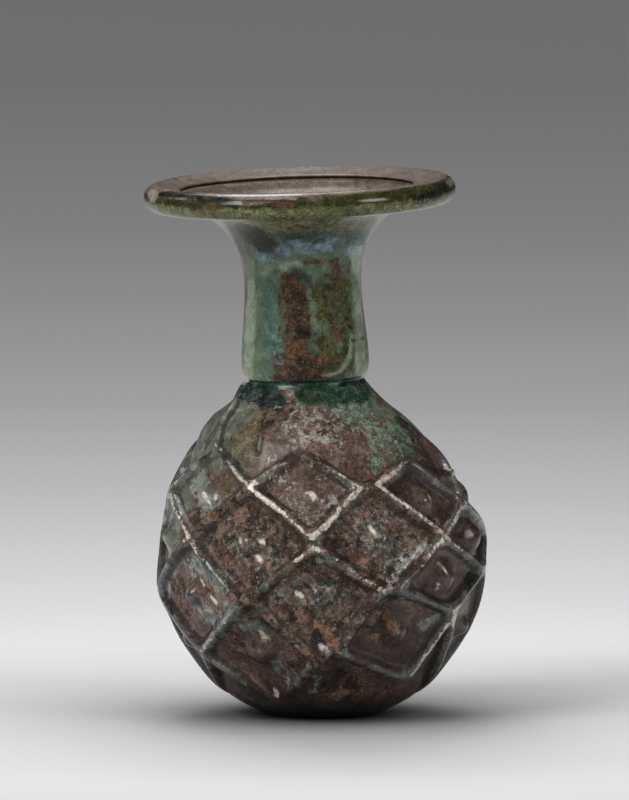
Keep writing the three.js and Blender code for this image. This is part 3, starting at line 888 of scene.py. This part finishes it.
def keepLayer(piece, name, values):
    layer = piece.data.attributes.get(name) or piece.data.attributes.new(name, "FLOAT", "POINT")
    layer.data.foreach_set("value", values.astype(np.float32))


def paint(piece, layers, way):
    places = pointsOf(piece) / mm
    back = smoothStep(places[:, 1], 0, 5)
    turned = places * (-1, -1, 1) + (2 * neck["offset"], 0, 0) * smoothStep(places[:, 2:], *globe["drift"])
    if way["onSphere"]:
        places, turned = onSphere(places), onSphere(turned)
    for name, strokes in layers.items():
        front = strokeMask(places, strokes, way) * (1 - back)
        behind = strokeMask(turned, strokes, way) * back * way["echo"]
        keepLayer(piece, name, np.maximum(front, behind))


def keepRelief(piece):
    places = fromCentre(pointsOf(piece))
    reach = np.linalg.norm(places, axis=1)
    bearings = places / reach[:, None]
    outside = reach > globe["radius"] - globe["skinDepth"]
    _, crest, boss, line = relief(bearings)
    crest = np.maximum(crest, np.minimum(foldRise(bearings), 1))
    for name, values in (("crest", crest), ("boss", boss), ("ribLine", line)):
        keepLayer(piece, name, values * outside)


# The neck and mouth in their own leaning frame: which way each point faces, out and up, and where
# it stands round the axis
def facings(piece):
    turn = np.array(neckPlace.inverted())
    normals = vectorsOf(piece, "normal") @ turn[:3, :3].T
    places = pointsOf(piece) @ turn[:3, :3].T + turn[:3, 3]
    outwards = places[:, :2] / np.linalg.norm(places[:, :2], axis=1, keepdims=True)
    up = np.degrees(np.arcsin(np.clip(normals[:, 2], -1, 1)))
    return (normals[:, :2] * outwards).sum(1), up, np.arctan2(places[:, 0], -places[:, 1])


# Inside, the neck and its trumpet carry the same mauve film as the disc.
def filmInside(piece):
    outwards, up, _ = facings(piece)
    keepLayer(piece, "mauve", smoothStep(-outwards, -0.1, 0.3))


# On the mouth the tones follow the fold: a mauve film on top, and underneath bare green glass
# lightened as painted light shining through it. Degrees that the surface faces up, where one tone
# gives way to the next.
fold = {"mauve": 50, "swing": 20, "swingTurn": 0.35, "onDisc": -60, "blur": 9, "green": (-14, 12)}


def paintFold(piece):
    _, up, turn = facings(piece)
    limit = fold["onDisc"]
    if piece.name == "rolled_edge":
        limit = fold["mauve"] + fold["swing"] * np.sin(turn - fold["swingTurn"])
    keepLayer(piece, "mauve", smoothStep(up, limit - fold["blur"], limit + fold["blur"]))
    # The underside's green tone is lightened as painted light shining through the glass.
    keepLayer(piece, "greenGlassLitThrough", 1 - smoothStep(up, *fold["green"]))


# Shaders
def toLinear(tone):
    channels = [channel / 255 for channel in tone]
    return tuple(c / 12.92 if c <= 0.04045 else ((c + 0.055) / 1.055) ** 2.4 for c in channels) + (1,)


def addNode(tree, kind, inputs=None, **settings):
    made = tree.nodes.new("ShaderNode" + kind)
    for key, value in settings.items():
        setattr(made, key, value)
    for key, value in (inputs or {}).items():
        if isinstance(value, bpy.types.NodeSocket):
            tree.links.new(value, made.inputs[key])
        else:
            made.inputs[key].default_value = value
    return made


def maths(tree, operation, a, b=0.0, clamp=False):
    return addNode(tree, "Math", {0: a, 1: b}, operation=operation, use_clamp=clamp).outputs[0]


def ramp(tree, value, low, high):
    inputs = {"Value": value, "From Min": low, "From Max": high}
    return addNode(tree, "MapRange", inputs, interpolation_type="SMOOTHSTEP").outputs[0]


def mixFloat(tree, share, a, b):
    return addNode(tree, "Mix", {0: share, 2: a, 3: b}, data_type="FLOAT").outputs[0]


def mixColour(tree, share, a, b):
    return addNode(tree, "Mix", {0: share, 6: a, 7: b}, data_type="RGBA").outputs[2]


def attribute(tree, name):
    return addNode(tree, "Attribute", attribute_name=name).outputs["Fac"]


def noise(tree, place, scale, detail, roughness=0.5, distortion=0.0):
    inputs = {
        "Vector": place, "Scale": scale, "Detail": detail, "Roughness": roughness, "Distortion": distortion
    }
    return addNode(tree, "TexNoise", inputs).outputs


# A ramp through tones, each with its place from 0 to 1
def colourRamp(tree, value, stops):
    made = addNode(tree, "ValToRGB", {"Fac": value})
    elements = made.color_ramp.elements
    elements[0].position, elements[1].position = stops[0][0], stops[-1][0]
    elements[0].color, elements[1].color = toLinear(stops[0][1]), toLinear(stops[-1][1])
    for position, tone in stops[1:-1]:
        elements.new(position).color = toLinear(tone)
    return made.outputs[0]


def newGroup(name, inputs, outputs):
    tree = bpy.data.node_groups.new(name, "ShaderNodeTree")
    for label, kind in inputs.items():
        tree.interface.new_socket(label, in_out="INPUT", socket_type="NodeSocket" + kind)
    for label, kind in outputs.items():
        tree.interface.new_socket(label, in_out="OUTPUT", socket_type="NodeSocket" + kind)
    return tree, tree.nodes.new("NodeGroupInput").outputs, tree.nodes.new("NodeGroupOutput").inputs


toneSockets = {
    "Vector": "Vector", "Scale": "Float", "Grain": "Float",
    "Dark": "Color", "Middle": "Color", "Light": "Color",
}
# How much finer than a layer's own blotches the noises over them are
finer = {"grain": 6.5, "patches": 0.5, "cells": 1.9, "chips": 1.3, "flecks": 4}
fleck = {"tone": (196, 186, 172), "limits": (0.6, 0.68), "cover": 0.6}


# Three tones run through each other, in blotches with a finer grain over them
def mottleGroup():
    tree, given, out = newGroup("mottle", toneSockets, {"Color": "Color", "Height": "Float"})
    place, scale = given["Vector"], given["Scale"]
    blotch = noise(tree, place, scale, 4, 0.7, 0.8)[0]
    grain = noise(tree, place, maths(tree, "MULTIPLY", scale, finer["grain"]), 4, 0.75)[0]
    level = mixFloat(tree, given["Grain"], blotch, grain)
    low = mixColour(tree, ramp(tree, level, 0.4, 0.5), given["Dark"], given["Middle"])
    tree.links.new(mixColour(tree, ramp(tree, level, 0.5, 0.6), low, given["Light"]), out["Color"])
    tree.links.new(level, out["Height"])
    return tree


# Crust that comes away in chips: rough blotches of every size, with small pale flecks among them
def chipGroup():
    tree, given, out = newGroup("chips", toneSockets, {"Color": "Color", "Height": "Float"})
    place, scale = given["Vector"], given["Scale"]
    scales = {name: maths(tree, "MULTIPLY", scale, times) for name, times in finer.items()}
    patches = noise(tree, place, scales["patches"], 2, 0.5, 0.7)[0]
    sway = noise(tree, place, scale, 3, 0.6)[1]
    strayed = addNode(tree, "VectorMath", {0: sway}, operation="SCALE")
    tree.links.new(maths(tree, "DIVIDE", 1.4, scale), strayed.inputs["Scale"])
    spot = addNode(tree, "VectorMath", {0: place, 1: strayed.outputs[0]}, operation="ADD").outputs[0]
    cells = addNode(tree, "TexVoronoi", {"Vector": spot, "Scale": scales["cells"]})
    cell = addNode(tree, "SeparateColor", {0: cells.outputs[1]}).outputs[0]
    grain = noise(tree, place, scales["chips"], 7, 0.85)[0]
    rough = mixFloat(tree, given["Grain"], cell, ramp(tree, grain, 0.3, 0.7))
    level = mixFloat(tree, 0.4, rough, ramp(tree, patches, 0.3, 0.7))
    low = mixColour(tree, ramp(tree, level, 0.25, 0.5), given["Dark"], given["Middle"])
    high = mixColour(tree, ramp(tree, level, 0.52, 0.75), low, given["Light"])
    flecks = ramp(tree, noise(tree, place, scales["flecks"], 3, 0.7)[0], *fleck["limits"])
    share = maths(tree, "MULTIPLY", flecks, fleck["cover"])
    tree.links.new(mixColour(tree, share, high, toLinear(fleck["tone"])), out["Color"])
    tree.links.new(level, out["Height"])
    return tree


# A painted layer, its edge broken up by noise
def raggedGroup():
    tree, given, out = newGroup(
        "raggedPaint",
        {"Paint": "Float", "Vector": "Vector", "Scale": "Float", "Ragged": "Float", "Soft": "Float"},
        {"Mask": "Float"},
    )
    bays = noise(tree, given["Vector"], given["Scale"], 4, 0.75)[0]
    strayed = maths(tree, "MULTIPLY", maths(tree, "SUBTRACT", bays, 0.5), given["Ragged"])
    low, high = (maths(tree, way, 0.5, given["Soft"]) for way in ("SUBTRACT", "ADD"))
    mask = ramp(tree, maths(tree, "ADD", given["Paint"], strayed), low, high)
    faded = maths(tree, "MULTIPLY", given["Paint"], 8, True)
    tree.links.new(maths(tree, "MULTIPLY", mask, faded), out["Mask"])
    return tree


# The rainbow of weathered glass: hues that wander over the surface
def filmGroup():
    tree, given, out = newGroup("oilFilm", {"Vector": "Vector", "Scale": "Float"}, {"Color": "Color"})
    hues = (
        (0.32, (56, 66, 86)), (0.41, (82, 116, 118)), (0.48, (112, 148, 130)), (0.55, (186, 190, 174)),
        (0.62, (130, 114, 128)), (0.7, (80, 102, 104)),
    )
    wander = noise(tree, given["Vector"], given["Scale"], 3, 0.5, 1.2)[0]
    tree.links.new(colourRamp(tree, wander, hues), out["Color"])
    return tree


groups = {"mottle": mottleGroup(), "chips": chipGroup(), "ragged": raggedGroup(), "film": filmGroup()}


def useGroup(tree, name, inputs):
    return addNode(tree, "Group", inputs, node_tree=groups[name]).outputs


# Tones are as a screen shows them. Millimetres: size of the blotches, height of the bump and
# edge, the size of the bays in the outline of a painted layer. Gloss is the weight of the coat,
# and cover how much of what lies under a layer it hides. What a finish doesn't say is as usual.
usualFinish = {
    "grain": 0.5, "roughness": 0.2, "height": 0, "gloss": 0.3, "edge": 1.4, "ragged": 3, "soft": 0.5,
}
finishes = {
    "crust": {
        "tones": ((58, 43, 36), (97, 76, 67), (136, 113, 102)), "size": 2.2, "grain": 0.55,
        "roughness": 0.5, "height": 0.07, "gloss": 0.12,
    },
    "moss": {
        "tones": ((56, 45, 30), (96, 87, 64), (132, 124, 98)), "size": 1.2, "roughness": 0.4,
        "height": 0.05, "edge": 1.8, "ragged": 5, "soft": 0.35,
    },
    # Umber crust, also used as painted shade.
    "umberAndShade": {
        "tones": ((36, 27, 22), (68, 54, 47), (98, 81, 70)), "size": 2.2, "grain": 0.45,
        "roughness": 0.4, "height": 0.05, "edge": 3,
    },
    "clear": {
        "tones": ((82, 87, 76), (114, 118, 106), (150, 155, 144)), "size": 3.6, "grain": 0.2,
        "height": 0.01, "gloss": 0.8, "edge": 2.2, "ragged": 3.5, "soft": 0.35,
    },
    "green": {
        "tones": ((38, 50, 40), (92, 108, 88), (172, 186, 162)), "size": 0.8, "grain": 0.6,
        "roughness": 0.35, "height": 0.05, "gloss": 0.4, "ragged": 6, "soft": 0.25,
    },
    "ribs": {
        "tones": ((60, 62, 57), (92, 94, 87), (130, 130, 120)), "size": 2, "grain": 0.4,
        "roughness": 0.25, "height": 0.02, "gloss": 0.8, "edge": 1.2, "ragged": 4, "soft": 0.35,
    },
    "flaky": {
        "tones": ((22, 15, 11), (78, 59, 47), (150, 120, 101)), "size": 0.6, "grain": 0.72,
        "chips": True, "roughness": 0.6, "height": 0.25, "gloss": 0.08, "edge": 1.6, "ragged": 6,
        "soft": 0.2,
    },
    # Dark glass, also used as painted shade.
    "dark": {
        "tones": ((14, 15, 12), (30, 31, 26), (54, 53, 45)), "size": 2, "grain": 0.4, "roughness": 0.3,
        "height": 0.03, "gloss": 0.6, "edge": 2, "ragged": 3.5, "soft": 0.4,
    },
    # Painted shade in the hollows beside the ribs.
    "paintedRibShade": {
        "tones": ((16, 11, 8), (32, 23, 18), (56, 43, 35)), "size": 1, "cover": 0.75, "roughness": 0.5,
        "height": 0.05, "gloss": 0.2, "edge": 1, "ragged": 5,
    },
    "orange": {
        "tones": ((70, 44, 30), (116, 78, 56), (168, 128, 100)), "size": 0.6, "grain": 0.6,
        "chips": True, "roughness": 0.6, "height": 0.2, "gloss": 0.1, "edge": 0.8, "ragged": 7,
        "soft": 0.2,
    },
    "nacre": {"size": 3, "cover": 0.6, "roughness": 0.15, "gloss": 1, "edge": 0.8, "ragged": 6},
    "silver": {
        "tones": ((110, 100, 92), (156, 150, 142), (214, 220, 212)), "size": 0.4, "grain": 0.6,
        "roughness": 0.3, "height": 0.04, "gloss": 0.6, "edge": 0.5, "soft": 0.2,
    },
    "navy": {
        "tones": ((14, 20, 22), (32, 44, 44), (66, 80, 82)), "size": 1.2, "grain": 0.3, "gloss": 0.8,
        "edge": 1, "soft": 0.45,
    },
    "emerald": {
        "tones": ((16, 40, 28), (38, 64, 50), (80, 104, 86)), "size": 1.6, "grain": 0.3, "gloss": 0.7,
        "edge": 1, "soft": 0.45,
    },
    "gold": {
        "tones": ((112, 94, 74), (172, 154, 126), (230, 220, 196)), "size": 0.4, "grain": 0.6,
        "roughness": 0.4, "height": 0.04, "edge": 0.35, "ragged": 2.6, "soft": 0.12,
    },
    # A pale film on the rib tops with painted highlights, near white at its lightest.
    "crestFilmAndHighlight": {
        "tones": ((132, 98, 78), (222, 204, 188), (255, 252, 247)), "size": 0.5, "grain": 0.6,
        "roughness": 0.22, "height": 0.03, "gloss": 1, "edge": 0.5, "ragged": 5, "soft": 0.4,
    },
    # Painted highlights on the bosses.
    "paintedGlint": {
        "tones": ((190, 180, 162), (236, 228, 214), (255, 252, 246)), "size": 0.8, "grain": 0.4,
        "roughness": 0.25, "gloss": 0.8, "edge": 0.5, "ragged": 2.6,
    },
    "haze": {
        "tones": ((72, 90, 70), (93, 111, 90), (116, 134, 108)), "size": 2.4, "grain": 0.4,
        "height": 0.01, "gloss": 0.4,
    },
    "slate": {
        "tones": ((42, 54, 46), (70, 88, 78), (98, 120, 108)), "size": 1.6, "grain": 0.4, "height": 0.01,
        "gloss": 0.45, "edge": 2, "ragged": 4,
    },
    "teal": {
        "tones": ((56, 80, 70), (78, 103, 88), (102, 128, 110)), "size": 1.6, "grain": 0.4,
        "height": 0.01, "gloss": 0.45, "edge": 2.4,
    },
    "oliveGlass": {
        "tones": ((46, 42, 24), (78, 74, 48), (110, 106, 72)), "size": 1.1, "height": 0.01, "gloss": 0.4,
        "edge": 1.2, "ragged": 5, "soft": 0.35,
    },
    # Painted light along the neck's edges.
    "paintedEdgeLight": {
        "tones": ((116, 130, 108), (144, 157, 134), (170, 180, 158)), "size": 2, "grain": 0.25,
        "gloss": 0.4, "ragged": 2.5,
    },
    "mottled": {
        "tones": ((66, 54, 34), (124, 120, 86), (166, 160, 118)), "size": 0.8, "roughness": 0.3,
        "height": 0.02, "gloss": 0.4, "edge": 1.2, "ragged": 6, "soft": 0.4,
    },
    "rust": {
        "tones": ((28, 17, 10), (66, 45, 29), (106, 75, 46)), "size": 0.45, "grain": 0.72, "chips": True,
        "roughness": 0.45, "height": 0.05, "edge": 0.8, "ragged": 2.6, "soft": 0.4,
    },
    "plum": {
        "tones": ((66, 54, 52), (92, 78, 74), (118, 104, 98)), "size": 1.6, "grain": 0.4,
        "roughness": 0.3,
    },
    # Blue iridescent film with painted highlights.
    "blueFilmAndHighlight": {
        "tones": ((84, 100, 110), (124, 150, 162), (168, 196, 216)), "size": 1.4, "grain": 0.4,
        "cover": 0.75, "roughness": 0.15, "gloss": 0.6, "ragged": 4,
    },
    "rimGlass": {
        "tones": ((38, 38, 20), (60, 62, 36), (88, 86, 56)), "size": 1.6, "grain": 0.45,
        "roughness": 0.15, "height": 0.02, "gloss": 0.7,
    },
    # Bare green glass under the rim, lightened as painted light shining through it.
    "greenGlassLitThrough": {
        "tones": ((62, 60, 34), (94, 98, 60), (136, 138, 92)), "size": 1, "height": 0.02, "gloss": 0.6,
        "edge": 1.2, "ragged": 4, "soft": 0.4,
    },
    "mauve": {
        "tones": ((76, 62, 52), (106, 92, 80), (138, 124, 112)), "size": 1.3, "grain": 0.55,
        "roughness": 0.45, "height": 0.03, "gloss": 0.25, "ragged": 2.5, "soft": 0.4,
    },
    # Painted highlights on the rim.
    "paintedLilacHighlight": {
        "tones": ((102, 90, 82), (128, 116, 108), (164, 152, 144)), "size": 0.8, "roughness": 0.25,
        "height": 0.01, "gloss": 0.7, "edge": 1, "ragged": 4, "soft": 0.45,
    },
    # Painted light: glow and highlights on the rim.
    "paintedGlow": {
        "tones": ((118, 108, 94), (156, 146, 132), (204, 196, 184)), "size": 0.7, "gloss": 0.7,
        "edge": 1.2, "ragged": 1.6,
    },
    "specks": {
        "tones": ((120, 120, 82), (152, 150, 108), (190, 186, 142)), "size": 0.5, "height": 0.02,
        "gloss": 0.7, "edge": 0.35, "ragged": 2.6, "soft": 0.12,
    },
}


def toneInputs(finish, place):
    dark, middle, light = (toLinear(tone) for tone in finish["tones"])
    return {
        "Vector": place, "Scale": 1 / (finish["size"] * mm * 2), "Grain": finish["grain"],
        "Dark": dark, "Middle": middle, "Light": light,
    }


# A layer's own mask. The painted shade in the nooks beside the ribs follows the relief, and so do
# the ribs' tones and their pale film with its painted highlight, as wide as their paint is strong.
def paintOf(tree, layer):
    if layer == "paintedRibShade":
        crest = attribute(tree, "crest")
        return maths(tree, "MULTIPLY", ramp(tree, crest, 0.05, 0.3), ramp(tree, crest, 0.85, 0.55))
    painted = attribute(tree, layer)
    if layer == "ribs":
        return maths(tree, "MULTIPLY", ramp(tree, attribute(tree, "crest"), 0.35, 0.85), painted)
    if layer == "crestFilmAndHighlight":
        return ramp(tree, maths(tree, "MULTIPLY", attribute(tree, "ribLine"), painted), 0.42, 1)
    return painted


polish = {"boss": (0.3, 0.9), "roughness": 0.28, "gloss": 0.9}  # of the bosses, from their foot up
coatRoughness = 0.12


def skin(name, base, layers, shine, specular):
    material = bpy.data.materials.new(name)
    material.use_nodes = True
    tree = material.node_tree
    shader = tree.nodes["Principled BSDF"]
    place = addNode(tree, "TexCoord").outputs["Object"]
    finish = usualFinish | finishes[base]
    ground = useGroup(tree, "mottle", toneInputs(finish, place))
    colour, roughness, gloss = ground[0], finish["roughness"], finish["gloss"]
    height = maths(tree, "MULTIPLY", ground[1], finish["height"])
    for layer in layers:
        finish = usualFinish | finishes[layer]
        mask = useGroup(tree, "ragged", {
            "Paint": paintOf(tree, layer), "Vector": place, "Scale": 1 / (finish["edge"] * mm * 2),
            "Ragged": finish["ragged"], "Soft": finish["soft"],
        })[0]
        if "cover" in finish:
            mask = maths(tree, "MULTIPLY", mask, finish["cover"])
        if "tones" in finish:
            tone = useGroup(tree, "chips" if "chips" in finish else "mottle", toneInputs(finish, place))
            raised = maths(tree, "MULTIPLY", tone[1], finish["height"])
            height = mixFloat(tree, mask, height, raised)
        else:
            tone = useGroup(tree, "film", {"Vector": place, "Scale": 1 / (finish["size"] * mm)})
        colour = mixColour(tree, mask, colour, tone[0])
        roughness = mixFloat(tree, mask, roughness, finish["roughness"])
        gloss = mixFloat(tree, mask, gloss, finish["gloss"])
    polished = ramp(tree, attribute(tree, "boss"), *polish["boss"])
    roughness = mixFloat(tree, polished, roughness, polish["roughness"])
    gloss = mixFloat(tree, polished, gloss, polish["gloss"])
    bump = {"Height": maths(tree, "MULTIPLY", height, mm), "Strength": 1, "Distance": 1}
    tree.links.new(colour, shader.inputs["Base Color"])
    tree.links.new(roughness, shader.inputs["Roughness"])
    tree.links.new(maths(tree, "MULTIPLY", gloss, shine), shader.inputs["Coat Weight"])
    tree.links.new(addNode(tree, "Bump", bump).outputs[0], shader.inputs["Normal"])
    shader.inputs["Specular IOR Level"].default_value = specular
    shader.inputs["Coat Roughness"].default_value = coatRoughness
    return material


bodySkin = skin("weathered_globe_glass", "crust", (
    "umberAndShade", "moss", "clear", "green", "ribs", "flaky", "dark", "paintedRibShade", "orange", "nacre", "silver", "navy",
    "emerald", "gold", "crestFilmAndHighlight", "paintedGlint",
), 0.8, 0.3)
neckSkin = skin("hazy_neck_glass", "haze", (
    "slate", "teal", "oliveGlass", "mauve", "paintedEdgeLight", "mottled", "rust", "dark", "plum", "blueFilmAndHighlight", "emerald",
), 0.4, 0.2)
mouthSkin = skin("streaked_mouth_glass", "rimGlass", (
    "greenGlassLitThrough", "mauve", "paintedLilacHighlight", "rust", "dark", "paintedGlow", "specks",
), 0.5, 0.18)
webSkin = skin("pinched_green_glass", "emerald", (), 0.3, 0.2)
print("skins mixed:", len(finishes), "finishes")

pieces = (
    (lozengeGlobe(), "lozenge_body", "body_glass", bodySkin, bodyPaint),
    (shoulderDome(), "shoulder", "body_glass", bodySkin, bodyPaint),
    (footPad(), "base_pad", "body_glass", bodySkin, bodyPaint),
    (pinchedWeb(), "sprinkler_diaphragm", "washer_glass", webSkin, {}),
    (neckTube(), "neck_tube", "neck_glass", neckSkin, neckPaint),
    (trumpet(), "mouth_flare", "neck_glass", neckSkin, neckPaint),
    (mouthDisc(), "mouth_disc", "mouth_glass", mouthSkin, mouthPaint),
    (rolledEdge(), "rolled_rim", "mouth_glass", mouthSkin, mouthPaint),
    (foldedStrip(), "folded_lip", "mouth_glass", mouthSkin, mouthPaint),
)
print("modelled:", len(pieces), "pieces")
for piece, node, slotName, material, layers in pieces:
    if material is bodySkin:
        paint(piece, layers, paintWays["globe"])
        keepRelief(piece)
    if material is neckSkin:
        paint(piece, layers, paintWays["neck"])
        filmInside(piece)
    if material is mouthSkin:
        paint(piece, layers, paintWays["mouth"])
        paintFold(piece)
    piece.data.materials.clear()
    piece.data.materials.append(material)
    onlySelect(piece)
    bpy.ops.object.shade_smooth_by_angle(angle=math.radians(50))
    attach(piece, "root")
    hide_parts(node)
    print("dressed", piece.name, len(piece.data.polygons), "faces")

# Studio. Tones of the floor at each distance from the flask in metres: its colour, which darkens
# with distance as a painted falloff of light, and the painted light that it glows with besides
# where the camera and reflections see it.
studio = {
    "floorRadius": 1.7,
    "floorTones": (
        (0, 200), (0.201, 200), (0.388, 178), (0.574, 161), (0.761, 144), (0.947, 129), (1.134, 118),
        (1.31, 108),
    ),
    "glowTones": (
        (0, 130), (0.134, 142), (0.201, 120), (0.388, 92), (0.574, 50), (0.761, 36), (0.947, 30),
        (1.134, 36), (1.31, 44),
    ),
    "closeness": (0.09, 1.6),  # how far the flask darkens the floor, in metres, and how deeply
    "floorRoughness": 0.9,
    "floorSpecular": 0.1,
    "world": (70, 0.55),  # tone and strength
    "aimHeight": 0.05,
    "lamps": (  # azimuth from the front towards +X, elevation, distance, size, watts
        (-48, 36, 3.0, 1.5, 64),
        (58, 22, 3.0, 1.0, 24),
        (-172, 54, 3.0, 1.4, 46),
    ),
}
black = (0, 0, 0, 1)


def addFloor():
    bpy.ops.object.select_all(action="DESELECT")
    bpy.ops.mesh.primitive_circle_add(vertices=128, radius=studio["floorRadius"], fill_type="TRIFAN")
    floor = bpy.context.object
    floor.name = "studio_floor"
    material = bpy.data.materials.new("pale_sweep")
    material.use_nodes = True
    tree = material.node_tree
    place = addNode(tree, "TexCoord").outputs["Object"]
    away = addNode(tree, "VectorMath", {0: place}, operation="LENGTH").outputs["Value"]
    share = maths(tree, "DIVIDE", away, studio["floorRadius"])
    rays = addNode(tree, "LightPath").outputs
    seen = maths(tree, "ADD", rays["Is Camera Ray"], rays["Is Glossy Ray"])
    seen = maths(tree, "ADD", seen, rays["Is Transmission Ray"], True)
    reach, depth = studio["closeness"]
    openness = addNode(tree, "AmbientOcclusion", {"Distance": reach}, samples=16).outputs["AO"]
    shade = maths(tree, "POWER", openness, depth)
    shader = tree.nodes["Principled BSDF"]
    for key, socket in (("floorTones", "Base Color"), ("glowTones", "Emission Color")):
        stops = [(distance / studio["floorRadius"], (tone,) * 3) for distance, tone in studio[key]]
        tone = mixColour(tree, shade, black, colourRamp(tree, share, stops))
        tree.links.new(tone, shader.inputs[socket])
    tree.links.new(seen, shader.inputs["Emission Strength"])
    shader.inputs["Roughness"].default_value = studio["floorRoughness"]
    shader.inputs["Specular IOR Level"].default_value = studio["floorSpecular"]
    floor.data.materials.append(material)


def addLamps():
    aim = Vector((0, 0, studio["aimHeight"]))
    for number, (azimuth, elevation, distance, size, watts) in enumerate(studio["lamps"], 1):
        turn, up = math.radians(azimuth), math.radians(elevation)
        way = Vector((math.sin(turn) * math.cos(up), -math.cos(turn) * math.cos(up), math.sin(up)))
        facing = way.to_track_quat("Z", "Y").to_euler()
        bpy.ops.object.light_add(type="AREA", location=aim + way * distance, rotation=facing)
        lamp = bpy.context.object
        lamp.name = f"softbox_{number}"
        lamp.data.shape = "SQUARE"
        lamp.data.size = size
        lamp.data.energy = watts


def addWorld():
    world = bpy.data.worlds.new("studio")
    bpy.context.scene.world = world
    world.use_nodes = True
    tone, strength = studio["world"]
    light = world.node_tree.nodes["Background"].inputs
    light[0].default_value = toLinear((tone,) * 3)
    light[1].default_value = strength


addCamera()
addFloor()
addLamps()
addWorld()
print("studio set:", len(studio["lamps"]), "lamps")
